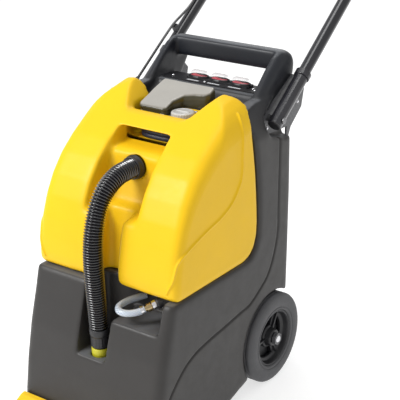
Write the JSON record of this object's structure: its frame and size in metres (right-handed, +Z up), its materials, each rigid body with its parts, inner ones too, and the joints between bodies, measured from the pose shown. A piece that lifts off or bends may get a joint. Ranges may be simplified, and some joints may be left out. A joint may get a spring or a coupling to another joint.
{
  "type": "spot extractor",
  "caption": "Upright carpet spot extractor on rear wheels with a lift-off recovery tank, corrugated suction hose, rocker switches and a folding pull handle.",
  "frame": {"origin": "on the floor, under the middle of the bounding box", "axes": "+Z up, the machine faces -Y (suction shoe and hose), its right-hand side is +X"},
  "size_m": [0.3852, 0.9774, 0.99],
  "materials": {
    "housing_black": "moulded, fine texture",
    "panel_black": "satin moulded",
    "tank_yellow": "rotomoulded, satin",
    "lid_smoke": "smoked, translucent",
    "hose_black": "corrugated, satin",
    "clear_vinyl": "clear braided",
    "collar_lime": "satin",
    "tube_black": "gloss powder coat",
    "handle_black": "gloss powder coat",
    "tyre_grey": "matt",
    "rocker_red": "gloss",
    "bright_steel": "zinc plated",
    "brass": "turned",
    "rubber": "matt",
    "motor_grey": "cast",
    "float_white": "moulded",
    "bristle_blue": "nylon bristle"
  },
  "bodies": {
    "machine": {"main_housing": "housing_black", "control_panel": "panel_black", "switch_bezels": "panel_black", "rear_cover": "housing_black", "power_inlet": "rubber", "fill_cap": "rubber", "axle": "bright_steel", "axle_nut_left": "handle_black", "axle_nut_right": "handle_black", "handle_bracket_left": "tube_black", "handle_bracket_right": "tube_black", "pivot_bolt_left": "bright_steel", "pivot_bolt_right": "bright_steel", "lock_pin_left": "bright_steel", "lock_pin_right": "bright_steel", "hose_collar": "collar_lime", "solution_hose": "clear_vinyl", "coupler_body": "brass", "coupler_ring": "bright_steel", "coupler_socket": "panel_black", "hose_clamp": "bright_steel", "vacuum_shoe": "tank_yellow", "shoe_duct": "housing_black", "brush_motor": "motor_grey", "drive_belt": "rubber", "spray_bar": "housing_black", "vacuum_motor": "motor_grey", "pump": "motor_grey"},
    "tank": {"recovery_tank": "tank_yellow", "hose_flange": "rubber", "vacuum_hose": "hose_black", "hose_cuff": "rubber", "float_cage": "housing_black"},
    "lid": {"tank_lid": "lid_smoke", "lid_gasket": "rubber"},
    "cap": {"tank_cap": "lid_smoke"},
    "float": {"float_ball": "float_white"},
    "handle": {"handle_tube": "handle_black", "handle_sleeve_left": "tube_black", "handle_sleeve_right": "tube_black", "tube_collar_left": "tube_black", "tube_collar_right": "tube_black", "crossbar_grip": "rubber", "control_cable": "hose_black", "cable_boot": "rubber", "cable_clip": "rubber", "trigger_clamp": "panel_black"},
    "trigger": {"spray_trigger": "panel_black"},
    "wheel_left": {"wheel_hub_left": "panel_black", "tyre_left": "tyre_grey"},
    "wheel_right": {"wheel_hub_right": "panel_black", "tyre_right": "tyre_grey"},
    "rocker_1": {"switch_rocker_1": "rocker_red"},
    "rocker_2": {"switch_rocker_2": "rocker_red"},
    "rocker_3": {"switch_rocker_3": "rocker_red"},
    "brush": {"brush_core": "motor_grey", "brush_bristles": "bristle_blue", "brush_pulley": "panel_black"},
    "motor_drive": {"motor_pulley": "panel_black"},
    "fan": {"vacuum_fan": "motor_grey"}
  },
  "joints": [
    {"name": "tank_lift", "type": "slide", "parent": "machine", "child": "tank", "axis": [0, -0.2421, 0.9703], "range_m": [0, 0.12]},
    {"name": "lid_lift", "type": "slide", "parent": "tank", "child": "lid", "axis": [0, 0, 1], "range_m": [0, 0.06]},
    {"name": "cap_turn", "type": "hinge", "parent": "lid", "child": "cap", "pos_m": [0.0325, -0.14516, 0.619], "axis": [0, 0, 1], "range_deg": [0, 90]},
    {"name": "float_rise", "type": "slide", "parent": "tank", "child": "float", "axis": [0, 0, 1], "range_m": [0, 0.03]},
    {"name": "handle_fold", "type": "hinge", "parent": "machine", "child": "handle", "pos_m": [0, -0.01496, 0.59974], "axis": [1, 0, 0], "range_deg": [-45, 60]},
    {"name": "spray_trigger_pull", "type": "hinge", "parent": "handle", "child": "trigger", "pos_m": [-0.112, 0.44915, 0.95587], "axis": [0, -0.6088, 0.7934], "range_deg": [0, 14], "stiffness_Nm_per_rad": 0.8},
    {"name": "wheel_left_spin", "type": "hinge", "parent": "machine", "child": "wheel_left", "pos_m": [-0.163, -0.01466, 0.1016], "axis": [1, 0, 0], "continuous": true},
    {"name": "wheel_right_spin", "type": "hinge", "parent": "machine", "child": "wheel_right", "pos_m": [0.163, -0.01466, 0.1016], "axis": [1, 0, 0], "continuous": true},
    {"name": "rocker_1_tilt", "type": "hinge", "parent": "machine", "child": "rocker_1", "pos_m": [-0.0435, 0.01784, 0.6465], "axis": [0, 1, 0], "range_deg": [-12, 0]},
    {"name": "rocker_2_tilt", "type": "hinge", "parent": "machine", "child": "rocker_2", "pos_m": [0.0095, 0.01784, 0.6465], "axis": [0, 1, 0], "range_deg": [-12, 0]},
    {"name": "rocker_3_tilt", "type": "hinge", "parent": "machine", "child": "rocker_3", "pos_m": [0.0625, 0.01784, 0.6465], "axis": [0, 1, 0], "range_deg": [-12, 0]},
    {"name": "brush_spin", "type": "hinge", "parent": "machine", "child": "brush", "pos_m": [0, -0.32866, 0.0346], "axis": [1, 0, 0], "continuous": true},
    {"name": "motor_spin", "type": "hinge", "parent": "machine", "child": "motor_drive", "pos_m": [-0.1475, -0.21366, 0.086], "axis": [1, 0, 0], "continuous": true},
    {"name": "fan_spin", "type": "hinge", "parent": "machine", "child": "fan", "pos_m": [0, -0.05966, 0.266], "axis": [0, 0, 1], "continuous": true}
  ],
  "couplings": [
    {"joint": "motor_spin", "follows": "brush_spin", "ratio": 1.6316}
  ]
}
